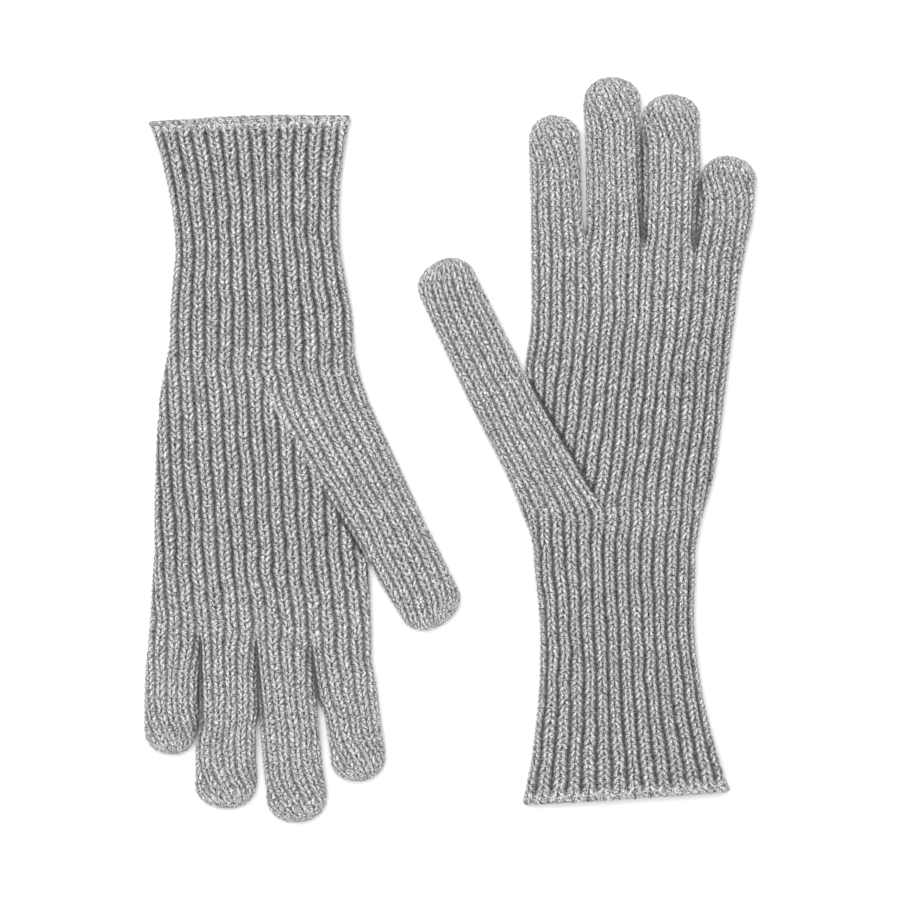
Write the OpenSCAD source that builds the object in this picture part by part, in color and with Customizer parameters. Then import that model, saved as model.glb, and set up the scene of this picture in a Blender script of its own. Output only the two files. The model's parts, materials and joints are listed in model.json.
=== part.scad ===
// A pair of long-cuffed ribbed wool gloves, lying side by side on a table.
// The left-hand glove lies palm up with its fingers to +Y, and the right-hand glove lies back up
// with its fingers to -Y. Each glove is drawn in its own frame first: the middle of its wrist is
// the origin, its fingers point to +Y and its thumb leans to -X. The pair's origin is the middle
// of its footprint, on the table.

/* [Fabric] */
// Thickness of the ribbed fabric
fabric = 2.6; // [2:0.1:3]
// Height of a cuff lying flat
cuff_height = 12; // [11:0.5:14]
// Height of the middle of a hand lying flat
hand_height = 13; // [12:0.5:15]
// Height of a finger or thumb lying flat
digit_height = 11.6; // [10.6:0.2:13]

/* [Cuffs] */
// Right cuff: length, mouth width, waist width, wrist width
right_cuff = [90, 85, 69, 77]; // [60:0.5:110]
// Left cuff: length, mouth width, waist width, wrist width
left_cuff = [106, 87, 65, 70]; // [60:0.5:110]
// Place of the waist from the wrist to the mouth: right, left
cuff_waist = [0.45, 0.35]; // [0.3:0.05:0.6]
// How far the mouth sits to the little finger's side of the wrist
cuff_drift = 5; // [-8:0.5:8]
// Length of the cast-on edge
edge_length = 4; // [3:0.5:6]
// How far the cast-on edge stands proud of the cuff
edge_proud = 0.6; // [0.2:0.1:1]

/* [Hands] */
// Right hand widths: at the gusset's point, mid palm, thumb crotch
right_palm = [82, 87, 90]; // [70:0.5:95]
// Left hand widths: at the gusset's point, mid palm, thumb crotch
left_palm = [74, 81, 84]; // [70:0.5:95]
// Distance from the wrist to the gusset's point
gusset_point = 16; // [10:1:24]
// Side place of the gusset's point: right, left
gusset_side = [2, -4.5]; // [-8:0.5:8]
// Distance from the wrist to the knuckle fold: right, left
knuckle_fold = [132, 133]; // [120:0.5:145]
// Slant of the knuckle fold in degrees, nearer the wrist at the little finger: right, left
knuckle_slant = [5, 6]; // [0:0.5:9]
// How far the knuckles sit to the little finger's side of the wrist: right, left
knuckle_drift = [0.5, 10]; // [-4:0.5:12]

/* [Fingers] */
// Right finger lengths past the knuckle fold: index, middle, ring, little
right_lengths = [53, 72, 68, 47.5]; // [36:0.5:85]
// Left finger lengths past the knuckle fold: index, middle, ring, little
left_lengths = [47, 65, 60.5, 37]; // [36:0.5:85]
// Right finger widths: index, middle, ring, little
right_widths = [24.2, 22.6, 23, 21]; // [18:0.2:25]
// Left finger widths: index, middle, ring, little
left_widths = [22.4, 23.2, 21.6, 20.8]; // [18:0.2:25]
// Right finger slants to the thumb's side, in degrees: index, middle, ring, little
right_slants = [7, 5.5, 0, -1.5]; // [-9:0.5:9]
// Left finger slants to the thumb's side, in degrees: index, middle, ring, little
left_slants = [1.5, 1.5, 0.5, -7]; // [-9:0.5:9]
// Gap between neighbouring fingers at the knuckle fold
finger_gap = 0.6; // [0.4:0.1:1.2]
// Length of the drawn-in tip of a finger or thumb
tip_length = 10; // [8:0.5:12]

/* [Thumbs] */
// Right thumb: root to the side, root from the wrist, slant in degrees
right_thumb = [-57.5, 88.5, 29]; // [-60:0.5:90]
// Left thumb: root to the side, root from the wrist, slant in degrees
left_thumb = [-49.5, 68, 26]; // [-60:0.5:90]
// Length of the thumb past its fold: right, left
thumb_length = [34.5, 53.5]; // [30:0.5:70]
// Width of the thumb at its root: right, left
thumb_width = [28.5, 26]; // [24:0.5:30]

/* [Folds] */
// How far a finger or thumb folds up, in degrees
digit_fold = 80; // [30:5:85]
// How far a cuff folds up, in degrees
cuff_fold = 60; // [30:5:75]
// Distance from a thumb's root to its fold
thumb_fold_ahead = 5; // [4:0.5:8]
// Clear gap between two pieces at a fold
fold_gap = 0.6; // [0.4:0.1:1]

/* [Pair] */
// Distance between the two wrists across the pair
wrists_apart = 149; // [145:1:190]
// Distance between the two wrists along the pair
wrists_along = 89.5; // [70:0.5:110]

/* [Hidden] */
FINGERS = ["index", "middle", "ring", "little"];
PIECES = ["cast_on_edge", "cuff", "hand", "thumb_gusset", "thumb", "thumb_tip", "thumb_crotch",
          "index_finger", "index_tip", "middle_finger", "middle_tip", "ring_finger", "ring_tip",
          "little_finger", "little_tip", "index_middle_crotch", "middle_ring_crotch",
          "ring_little_crotch"];

// A glove is numbered 0, the right-hand one, or 1, the left-hand one.
RIGHT = 0;
LEFT = 1;
WOOL = [0.62, 0.62, 0.62];
WOOL_LIGHT = [0.74, 0.74, 0.74];
WOOL_DARK = [0.5, 0.5, 0.5];
SIDES = 16;             // points round a loop, a multiple of 4
ROUNDNESS = 0.8;        // 1 makes an ellipse, and less is squarer
TABLE_SINK = 0.6;       // how far a loop would reach below the table if it weren't pressed flat
THUMB_TAPER = 0.88;     // width of the thumb's end against its root
FOLD_SPARE = 2;         // degrees kept clear beyond each fold's limit
CROTCH_RADIUS = 1.5;
CROTCH_BACK = 5;        // from the knuckle fold back to the finger crotches
CROTCH_BITE = 0.3;      // how far the crotch stitches sink into each layer

cuffs = [right_cuff, left_cuff];
palms = [right_palm, left_palm];
lengths = [right_lengths, left_lengths];
widths = [right_widths, left_widths];
slants = [right_slants, left_slants];
thumbs = [right_thumb, left_thumb];

function mix(a, b, t) = a + (b - a) * t;
function smooth(t) = (1 - cos(180 * t)) / 2;
function heading(slant) = [-sin(slant), cos(slant)];
function across(slant) = [cos(slant), sin(slant)];
function signed_power(v, p) = sign(v) * pow(abs(v), p);
function lean(fold) = tan((fold + FOLD_SPARE) / 2);

// One flattened oval loop that stands across a line. at is its place, and half its half width.
// Above axis_z the loop leans along the line by bevel, which clears a fold.
function loop(at, slant, half, low, high, bevel = 0, axis_z = 0) = [
    for (i = [0:SIDES - 1])
        let (a = 360 * i / SIDES,
             u = half * signed_power(cos(a), ROUNDNESS),
             z = max(0, (low + high) / 2 + (high - low) / 2 * signed_power(sin(a), ROUNDNESS)),
             p = at + u * across(slant) + max(0, z - axis_z) * bevel * heading(slant))
        [p[0], p[1], z]];

// The outside of a tube lies on the table, and its lining is one fabric thickness further in.
function tube_loop(at, slant, half, height, inside, bevel = 0, axis_z = 0) =
    inside ? loop(at, slant, half - fabric, fabric, height - fabric, bevel, axis_z)
           : loop(at, slant, half, -TABLE_SINK, height, bevel, axis_z);

// Two triangles for each step round between loops j and k of a point list.
function band(j, k) = [
    for (i = [0:SIDES - 1])
        let (n = (i + 1) % SIDES)
        each [[j * SIDES + i, k * SIDES + n, k * SIDES + i],
              [j * SIDES + i, j * SIDES + n, k * SIDES + n]]];
// The level strips that close loop j; way is -1 to face on from it and 1 to face back.
function cap(j, way) = [
    for (i = [-SIDES / 4:SIDES / 4 - 1])
        let (p = [for (k = [i, SIDES / 2 - i, SIDES / 2 - i - 1, i + 1])
                     j * SIDES + (k + SIDES) % SIDES],
             q = i == -SIDES / 4 ? [p[0], p[2], p[3]] : i == SIDES / 4 - 1 ? [p[0], p[1], p[2]] : p)
        way < 0 ? [for (k = [len(q) - 1:-1:0]) q[k]] : q];

// A tube with both ends open, from its outer loops and its inner loops.
module tube(outer, inner) {
    n = len(outer);
    m = len(inner);
    polyhedron(points = [for (one = concat(outer, inner)) each one],
               faces = concat([for (j = [0:n - 2]) each band(j, j + 1)],
                              band(n - 1, n + m - 1),
                              [for (j = [m - 1:-1:1]) each band(n + j, n + j - 1)],
                              band(n, 0)));
}
// A tube whose last outer and inner loops are closed.
module blind_tube(outer, inner) {
    n = len(outer);
    m = len(inner);
    polyhedron(points = [for (one = concat(outer, inner)) each one],
               faces = concat([for (j = [0:n - 2]) each band(j, j + 1)], cap(n - 1, -1),
                              [for (j = [m - 1:-1:1]) each band(n + j, n + j - 1)],
                              cap(n + m - 1, 1), band(n, 0)));
}

// ---- Cuff: t runs from 0 at the wrist to 1 at the mouth ----
function cuff_width(g, t) =
    let (c = cuffs[g], w = cuff_waist[g])
    t < w ? mix(c[3], c[2], smooth(t / w)) : mix(c[2], c[1], pow((t - w) / (1 - w), 1.8));
function cuff_loop(g, t, inside, grow = 0, bevel = 0) =
    let (height = mix(hand_height, cuff_height, t) + grow)
    tube_loop([cuff_drift * t * t, -cuffs[g][0] * t], 0, cuff_width(g, t) / 2 + grow,
              height, inside, bevel, hand_height / 2);
function cuff_loops(g, last, inside) =
    let (first = fold_gap / 2 / cuffs[g][0])
    [for (i = [8:-1:0])
        cuff_loop(g, mix(first, last, i / 8), inside, 0, i == 0 ? -lean(cuff_fold) : 0)];
function edge_start(g) = 1 - edge_length / cuffs[g][0];

module cast_on_edge(g) {
    a = edge_start(g);
    color(WOOL_LIGHT)
        tube([cuff_loop(g, 1, false), cuff_loop(g, mix(1, a, 0.3), false, edge_proud),
              cuff_loop(g, mix(1, a, 0.7), false, edge_proud), cuff_loop(g, a, false)],
             [cuff_loop(g, 1, true), cuff_loop(g, a, true)]);
}
module cuff(g) {
    color(WOOL)
        tube(cuff_loops(g, edge_start(g), false), cuff_loops(g, edge_start(g), true));
}

// ---- Digits: [root on the fold, slant, slant of the fold, length, half width, end half width] ----
// A finger takes up reach to each side of its root along the pair's X.
function reach(g, i) =
    widths[g][i] / 2 * cos(knuckle_slant[g]) / cos(slants[g][i] + knuckle_slant[g]);
function reach_to(g, i) = i < 0 ? 0 : 2 * reach(g, i) + finger_gap + reach_to(g, i - 1);
function knuckle_half(g) = (reach_to(g, 3) - finger_gap) / 2;
function finger_side(g, i) = knuckle_drift[g] - knuckle_half(g) + reach_to(g, i - 1) + reach(g, i);
function fold_at(g, x) = [x, knuckle_fold[g] - tan(knuckle_slant[g]) * x];
function finger(g, i) =
    [fold_at(g, finger_side(g, i)), slants[g][i], -knuckle_slant[g], lengths[g][i],
     widths[g][i] / 2, widths[g][i] / 2];
function thumb_of(g) =
    let (t = thumbs[g], root = [t[0], t[1]] + thumb_fold_ahead * heading(t[2]))
    [root, t[2], t[2], thumb_length[g], thumb_width[g] / 2, thumb_width[g] / 2 * THUMB_TAPER];

function along(d, s) = d[0] + s * heading(d[1]);
function half_at(d, s) = mix(d[4], d[5], s / d[3]);
function digit_loop(d, s, inside) =
    tube_loop(along(d, s), d[1], half_at(d, s), digit_height, inside);
// The loop on the fold lies along the fold, and leans back to clear it.
function fold_loop(d, inside) =
    tube_loop(d[0] + fold_gap / 2 * heading(d[2]), d[2], d[4] / cos(d[1] - d[2]), digit_height,
              inside, lean(digit_fold), digit_height / 2);
function digit_loops(d, inside) =
    concat([fold_loop(d, inside)],
           [for (s = [10, mix(10, d[3] - tip_length, 0.5), d[3] - tip_length])
               digit_loop(d, s, inside)]);

// A loop of the rounded tip; b runs from 0 where the tip begins to 90 at its very end.
function tip_loop(d, b, inside) =
    let (inset = inside ? fabric : 0,
         start = d[3] - tip_length,
         half = (half_at(d, start) - inset) * cos(b),
         mid = digit_height / 2,
         rise = (mid - inset) * pow(cos(b), 0.8),
         sink = inside ? 0 : TABLE_SINK * cos(b))
    loop(along(d, start + (tip_length - inset) * sin(b)), d[1], half, mid - rise - sink, mid + rise);
function tip_loops(d, inside) = [for (b = [0, 24, 45, 63, 76]) tip_loop(d, b, inside)];

module digit_tube(d) {
    color(WOOL)
        tube(digit_loops(d, false), digit_loops(d, true));
}
module digit_tip(d) {
    color(WOOL_LIGHT)
        blind_tube(tip_loops(d, false), tip_loops(d, true));
}

// ---- Hand and gusset ----
// Both are sheets bent into a C between the gusset's point and the thumb's crotch, where their
// edges meet along one line, and closed tubes beyond it.
// A bent loop runs from the edge point p over the outer point e and back below p. closing is 0
// where the sheet ends flat at p, and 1 where it turns down to close the tube there.
function bent_loop(p, e, closing, height, inside, way, bevel = 0, axis_z = 0) =
    let (reach = norm(e - p),
         out = (e - p) / reach,
         ahead = way * [-out[1], out[0]],
         first = 90 * (1 - closing),
         bend = pow(cos(first), ROUNDNESS),
         inset = inside ? fabric : 0,
         half = (reach - inset - inset * bend) / (1 + bend),
         low = inside ? fabric : -TABLE_SINK,
         high = height - inset)
    [for (i = [0:SIDES])
        let (a = mix(first, 360 - first, i / SIDES),
             q = p + (inset * bend + half * (bend - signed_power(cos(a), ROUNDNESS))) * out,
             z = max(0, (low + high) / 2 + (high - low) / 2 * signed_power(sin(a), ROUNDNESS)),
             r = q + max(0, z - axis_z) * bevel * ahead)
        [r[0], r[1], z]];

// A solid sheet from outer and inner bent loops. From loop number shut on, the loops are closed.
module bent_sheet(outer, inner, shut, way) {
    n = len(outer);
    row = SIDES + 1;
    function at(k, j, i) = (k * n + j) * row + (j >= shut && i == SIDES ? 0 : i);
    function quad(a, b, c, d) = way < 0 ? [[a, b, c], [a, c, d]] : [[c, b, a], [d, c, a]];
    polyhedron(
        points = [for (one = concat(outer, inner)) each one],
        faces = concat(
            [for (j = [0:n - 2], i = [0:SIDES - 1])
                each quad(at(0, j, i), at(0, j, i + 1), at(0, j + 1, i + 1), at(0, j + 1, i))],
            [for (j = [0:n - 2], i = [0:SIDES - 1])
                each quad(at(1, j, i), at(1, j + 1, i), at(1, j + 1, i + 1), at(1, j, i + 1))],
            [for (i = [0:SIDES - 1])
                each quad(at(0, 0, i), at(1, 0, i), at(1, 0, i + 1), at(0, 0, i + 1))],
            [for (i = [0:SIDES - 1])
                each quad(at(0, n - 1, i), at(0, n - 1, i + 1), at(1, n - 1, i + 1), at(1, n - 1, i))],
            [for (j = [0:shut - 1])
                each quad(at(0, j, 0), at(0, j + 1, 0), at(1, j + 1, 0), at(1, j, 0))],
            [for (j = [0:shut - 1])
                each quad(at(0, j, SIDES), at(1, j, SIDES), at(1, j + 1, SIDES),
                          at(0, j + 1, SIDES))]));
}

function hand_width(g, y) = lookup(y, [
    [0, cuffs[g][3]], [gusset_point, palms[g][0]], [44, palms[g][1]],
    [crotch_at(g)[1], palms[g][2]], [knuckle_fold[g], 2 * knuckle_half(g)]]);
function hand_drift(g, y) = knuckle_drift[g] * pow(y / knuckle_fold[g], 2);
function hand_height_at(g, y) = mix(hand_height, digit_height, pow(y / knuckle_fold[g], 2));
function crotch_at(g) =
    let (d = thumb_of(g)) along(d, -thumb_fold_ahead) + d[4] * across(d[1]);
function thumb_outer(g) =
    let (d = thumb_of(g)) along(d, -thumb_fold_ahead) - d[4] * across(d[1]);
function point_of(g) = [gusset_side[g], gusset_point];
function closing_at(t) = pow(t, 3);

// The hand's sheet: t runs from 0 at the gusset's point to 1 at the crotch.
function palm_open_loop(g, t, inside) =
    let (p = mix(point_of(g), crotch_at(g), t), y = p[1])
    bent_loop(p, [hand_drift(g, y) + hand_width(g, y) / 2, y], closing_at(t),
              hand_height_at(g, y), inside, 1);
// Beyond the crotch t runs on to 1 at the knuckle fold, and the loops turn to lie along it.
function palm_shut_loop(g, t, inside) =
    let (slant = knuckle_slant[g] * t,
         y = mix(crotch_at(g)[1], knuckle_fold[g] - fold_gap / 2, t),
         c = hand_drift(g, y),
         half = mix(palms[g][2] / 2, knuckle_half(g), t),
         side = [half, -half * tan(slant)],
         middle = [c, y - c * tan(slant)])
    bent_loop(middle - side, middle + side, 1, hand_height_at(g, y), inside, 1,
              t == 1 ? -lean(digit_fold) : 0, digit_height / 2);
function palm_loops(g, inside) = concat(
    [for (t = [0, 0.3, 0.6, 0.8, 0.93, 1]) palm_open_loop(g, t, inside)],
    [for (t = [0.5, 1]) palm_shut_loop(g, t, inside)]);

// The heel of the hand is a closed tube from the wrist to the gusset's point.
function heel_loops(g, inside) =
    [for (y = [fold_gap / 2, gusset_point])
        tube_loop([hand_drift(g, y), y], 0, hand_width(g, y) / 2, hand_height, inside,
                  y < 1 ? lean(cuff_fold) : 0, hand_height / 2)];

module hand(g) {
    color(WOOL)
        resize([0, 0, 0])
            union() {
                tube(heel_loops(g, false), heel_loops(g, true));
                bent_sheet(palm_loops(g, false), palm_loops(g, true), 5, 1);
            }
}

// The gusset's sheet: t runs from 0 at its point to 1 at the thumb's root, then to the fold.
function gusset_loop(g, t, inside) =
    let (low = [hand_drift(g, gusset_point) - hand_width(g, gusset_point) / 2, gusset_point])
    bent_loop(mix(point_of(g), crotch_at(g), t), mix(low, thumb_outer(g), t), closing_at(t),
              mix(hand_height, digit_height, t), inside, -1);
function gusset_end_loop(g, inside) =
    let (d = thumb_of(g), end = along(d, -fold_gap / 2), side = d[4] * across(d[1]))
    bent_loop(end + side, end - side, 1, digit_height, inside, -1, -lean(digit_fold),
              digit_height / 2);
function gusset_loops(g, inside) = concat(
    [for (t = [0, 0.3, 0.6, 0.8, 0.93, 1]) gusset_loop(g, t, inside)], [gusset_end_loop(g, inside)]);

module thumb_gusset(g) {
    color(WOOL)
        bent_sheet(gusset_loops(g, false), gusset_loops(g, true), 5, -1);
}

// The closing stitches of a crotch, which tie the two layers of the hand together.
module crotch_stitches(at) {
    low = fabric - CROTCH_BITE;
    color(WOOL_DARK)
        translate([at[0], at[1], low])
            cylinder(r = CROTCH_RADIUS, h = digit_height - 2 * low, $fn = 32);
}
module finger_crotch(g, i) {
    x = finger_side(g, i) + reach(g, i) + finger_gap / 2;
    crotch_stitches(fold_at(g, x) - [0, CROTCH_BACK]);
}
module thumb_crotch(g) {
    crotch_stitches(crotch_at(g) + [0, CROTCH_RADIUS - CROTCH_BITE]);
}

// ---- The pair ----
// Loops that reach the sides of one glove's footprint.
function reach_points(g) = concat(
    cuff_loop(g, 1, false),
    cuff_loop(g, mix(1, edge_start(g), 0.3), false, edge_proud),
    [for (i = [0:3], one = tip_loops(finger(g, i), false)) each one],
    [for (one = tip_loops(thumb_of(g), false)) each one]);
WRISTS = [[-wrists_apart, wrists_along] / 2, [wrists_apart, -wrists_along] / 2];
pair_points = concat([for (p = reach_points(RIGHT)) WRISTS[RIGHT] - [p[0], p[1]]],
                     [for (p = reach_points(LEFT)) WRISTS[LEFT] + [p[0], p[1]]]);
MIDDLE = [for (k = [0, 1])
    let (v = [for (p = pair_points) p[k]]) (min(v) + max(v)) / 2];

module place(g) {
    translate([WRISTS[g][0] - MIDDLE[0], WRISTS[g][1] - MIDDLE[1], 0])
        rotate([0, 0, g == RIGHT ? 180 : 0])
            children();
}

module piece(g, name) {
    place(g) {
        if (name == "cast_on_edge") cast_on_edge(g);
        if (name == "cuff") cuff(g);
        if (name == "hand") hand(g);
        if (name == "thumb_gusset") thumb_gusset(g);
        if (name == "thumb") digit_tube(thumb_of(g));
        if (name == "thumb_tip") digit_tip(thumb_of(g));
        if (name == "thumb_crotch") thumb_crotch(g);
        for (i = [0:3]) {
            if (name == str(FINGERS[i], "_finger")) digit_tube(finger(g, i));
            if (name == str(FINGERS[i], "_tip")) digit_tip(finger(g, i));
        }
        for (i = [0:2])
            if (name == str(FINGERS[i], "_", FINGERS[i + 1], "_crotch")) finger_crotch(g, i);
    }
}

for (name = PIECES) {
    piece(RIGHT, name);
    piece(LEFT, name);
}
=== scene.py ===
import json
import math

import bmesh
import bpy
import numpy as np
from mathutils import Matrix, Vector


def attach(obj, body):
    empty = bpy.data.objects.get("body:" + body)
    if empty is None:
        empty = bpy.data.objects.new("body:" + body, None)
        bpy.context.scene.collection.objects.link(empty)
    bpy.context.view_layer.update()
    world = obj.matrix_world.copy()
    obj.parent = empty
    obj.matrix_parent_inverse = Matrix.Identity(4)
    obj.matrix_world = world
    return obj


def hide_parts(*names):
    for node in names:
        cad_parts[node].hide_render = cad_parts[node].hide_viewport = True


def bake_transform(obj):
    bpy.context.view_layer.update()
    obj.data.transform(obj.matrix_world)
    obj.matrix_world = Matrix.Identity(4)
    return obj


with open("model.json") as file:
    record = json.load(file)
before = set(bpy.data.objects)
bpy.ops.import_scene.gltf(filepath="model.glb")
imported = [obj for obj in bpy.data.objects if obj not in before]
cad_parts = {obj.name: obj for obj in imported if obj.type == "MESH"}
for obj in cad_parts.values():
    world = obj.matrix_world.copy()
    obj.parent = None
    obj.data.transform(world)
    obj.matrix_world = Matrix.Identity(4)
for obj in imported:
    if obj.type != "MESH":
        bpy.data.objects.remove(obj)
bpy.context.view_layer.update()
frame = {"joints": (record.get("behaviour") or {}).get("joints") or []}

# Each glove is laid out in its own frame: the middle of its wrist is the origin, its fingers point
# to +Y and its thumb leans to -X. Lengths are in metres and angles in degrees.

# ---- Main sizes ----
FABRIC = 0.0024             # thickness of the ribbed fabric
HAND_HEIGHT = 0.013
DIGIT_HEIGHT = 0.0116
CUFF_HEIGHT = 0.012
TIP_LENGTH = 0.010
FINGER_GAP = 0.0006
GUSSET_POINT = 0.016        # from the wrist to the gusset's point
MID_PALM = 0.030            # from the wrist to where the palm's second width is measured
WIDTH_BLUR = 0.006          # the hand's width is a mean over this much to each side
BEND_REACH = 0.008          # the knit bends this far to each side of a fold
THUMB_FOLD_AHEAD = 0.005    # from the thumb's root to its fold

# ---- Ribs and stitches ----
COURSE = 0.0026             # length of one row of stitches
COURSE_STEPS = 6            # mesh rows along a stitch
RIB_STEPS = 10              # mesh columns across a rib
LOOP_SAMPLES = 420          # points that a row's loop is measured at
CUFF_RIBS = 14              # ribs from one side of a cuff to the other
HEEL_RIBS = 15              # one more comes in at the thumb's edge of the heel
GUSSET_RIBS = 7
FINGER_RIBS = 6
V_SLOPE = 2.2               # courses that a stitch's legs fall across one rib's width
HOLE_AHEAD = 0.25           # where in a course the small hole between the legs lies
RIB_DEPTH = 0.0022
STITCH_DEPTH = 0.0010
CREST_POWERS = (1.6, 0.9)   # how flat a rib's top is, and how steep its sides
STRAND_POWER = 0.9          # how round a single leg of a stitch is
NOTCH_DEPTH = 0.0009        # the hollow between the two legs of a stitch
NOTCH_WIDTH = 0.10          # and its width, as a share of the rib
FULLNESS = 0.0008           # how far the rib crests stand out past the CAD surface
UNDERSIDE_FULLNESS = -0.0002
UNDERSIDE_HEIGHT = 0.004    # the knit fills out over this height from the table
HEEL_RELIEF = 0.9           # shares of the rib depth left at the gusset's point, on the thumb and
GUSSET_RELIEF = 0.8         # its gusset, at the knuckles, and on the fingers
KNUCKLE_RELIEF = 0.85
FINGER_RELIEF = 0.75
RELIEF_LENGTH = 0.02        # a finger's relief changes over this length
PHASE_WANDER = ((0.10, 0.011, 1), (0.07, 0.003, 2))        # unevenness of the stitches: amount,
COURSE_WANDER = ((0.30, 0.009, 3), (0.22, 0.0028, 0))      # size of the bumps, layer of noise
PUFF_WANDER = ((0.0005, 0.022, 2),)
EDGE_WANDER = ((0.0002, 0.003, 1),)

# ---- Cross sections. A corner of 1 makes half an ellipse of a side, and near 0 it is square ----
HAND_CORNER = 0.55          # the hand's two edges, and the free sides of the outer fingers
CREASE_CORNER = 0.85        # the palm and the thumb where they part
JOINED_CORNER = 0.08        # a finger's side where it is still part of the hand
FREE_CORNER = 0.78          # a finger's side where it has come free of its neighbour
TIP_CORNER = 0.6

# ---- Cuff ----
CUFF_DRIFT = 0.005          # how far the mouth's middle lies off to the little finger's side
DRIFT_POWER = 1.3
FLARE_POWER = 1.8           # how late the cuff widens towards its mouth
TILT_FROM = 0.5             # share of the cuff beyond which the mouth's tilt sets in
GAPE_FROM = 0.6             # share of the cuff beyond which its bottom layer reaches further
EDGE_LENGTH = 0.0032
EDGE_STEPS = 25             # mesh rows round the edge's bead
EDGE_PROUD = 0.0006
EDGE_SHOWN = 0.55           # share of the edge that the cuff's last stitches leave free
EDGE_RELIEF = 0.5           # share of the rib depth left where the cuff meets its edge
EDGE_FADE = 0.003           # the rib depth fades to that over this length
EDGE_LOOP_DEPTH = 0.0007
EDGE_LOOP_POWER = 0.8
EDGE_PAINTED_SHADE = (0.18, 0.45)     # painted shade of the edge's loops: at their top, and darker between them
LINING_RIB_DEPTH = 0.0006
LINING_COURSE_DEPTH = 0.0002
# painted shade of the lining: lighter on its ribs, darker where its ribs and courses sink in
LINING_PAINTED_SHADE = (0.1, 0.4)

# ---- Where pieces meet ----
WRIST_SWEEP = 0.016         # the ribs sweep towards the thumb over this much to each side of the
WRIST_LEAN = 0.0016         # gusset's point, and lie this far over at it
SWEEP_START = 0.004         # the sweep starts this far to the little finger's side of that point,
SWEEP_WIDTH = 0.018         # and is full this much nearer to the thumb
SEAM_DEPTH = 0.0014         # how deep the knit is drawn in along the thumb's crease
SEAM_RIBS = 0.32            # how far to each side of the crease the knit is drawn in
CREASE_LAP = 0.0010         # how far two neighbouring pieces press into each other
LEAST_LAP = 0.8             # share of it that they keep all along the crease
LAP_START = 1 / 12          # share of the crease over which the lap comes in
RELIEF_START = 1 / 3        # shares of the palm's length, from the gusset's point, over which its
PITCH_START = 1 / 1.4       # relief grows and its ribs come to their width
GUSSET_START = 1 / 4        # share of the gusset over which it comes to its ribs and relief
SEAM_END = 1 / 4            # shares of the way from the thumb's crotch to the knuckles over which
LAP_END = 1 / 3             # the seam and the lap end, and the hand's edge takes its own shape
CORNER_END = 1 / 2
TUCK = 0.0012               # how deep a piece's end is tucked in under the next one
LIP = 0.0026                # how far a digit reaches back under the hand's last stitches
LIP_DEPTH = 0.0014          # and how deep under them its end lies
PRESS_RIBS = 0.6            # how far up their sides two fingers press each other flat
PRESSED_OUT = 0.0004        # where a pressed side lies, out from the CAD surface
PRESSED_PAINTED_SHADE = 0.4         # painted shade in the valley between two fingers, on the scale of the knit's painted shade by depth
CROTCH_BACK = 0.005         # from a fold line back to its closing stitches
THUMB_CROTCH_BACK = 0.0022  # from the thumb's crotch back to its own
CROTCH_YARN = 0.0013        # thickness of the yarn that closes a crotch
CROTCH_SPACING = 1.1        # distance between its strands, as a share of that
CROTCH_HALF_WIDTH = 0.0014  # of the middle strand's loop
CROTCH_COVER = 0.0024       # how far it stays inside the top and bottom of the fingers
CROTCH_NARROWER = 0.0003    # how much smaller the outer strands' loops are, in width and height
CROTCH_LOWER = 0.0005
CROTCH_STEPS = (33, 11)     # mesh points along a strand, and round it

# ---- Fingers and thumb ----
FREED_LENGTH = 0.009        # a finger comes free of the hand over this length
TURN_LENGTH = 0.012         # and turns to its own slant over this length beyond its fold
PART_LENGTH = 0.012         # two fingers part over this length
GAIN_REACH = 0.032          # a finger's ribs draw together over this length
FINGER_TILT = 0.05          # a finger's side lifts this much to lie on its neighbour
THUMB_FREED_LENGTH = 0.008  # the thumb's seam ends over this length
THUMB_SETTLE = 0.010        # its height settles over this length
TIP_KNIT = 1.25             # the knit over a tip is this many times as long as the tip
TIP_OPENING = 0.02          # share of its width that a tip is drawn in to
TIP_RELIEF = 0.6            # share of the relief left there
TIP_WIDTH_POWER = 0.9       # how full its outline is from above, and from the side
TIP_HEIGHT_POWER = 0.8
TIP_SWIRL = 2.5             # ribs that the stitches drift towards the thumb's side at a tip
SWIRL_REACH = 0.024
TIP_LEAN = 0.08             # share of a digit's half width that its end lies off to that side

FINGERS = ("index", "middle", "ring", "little")

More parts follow.
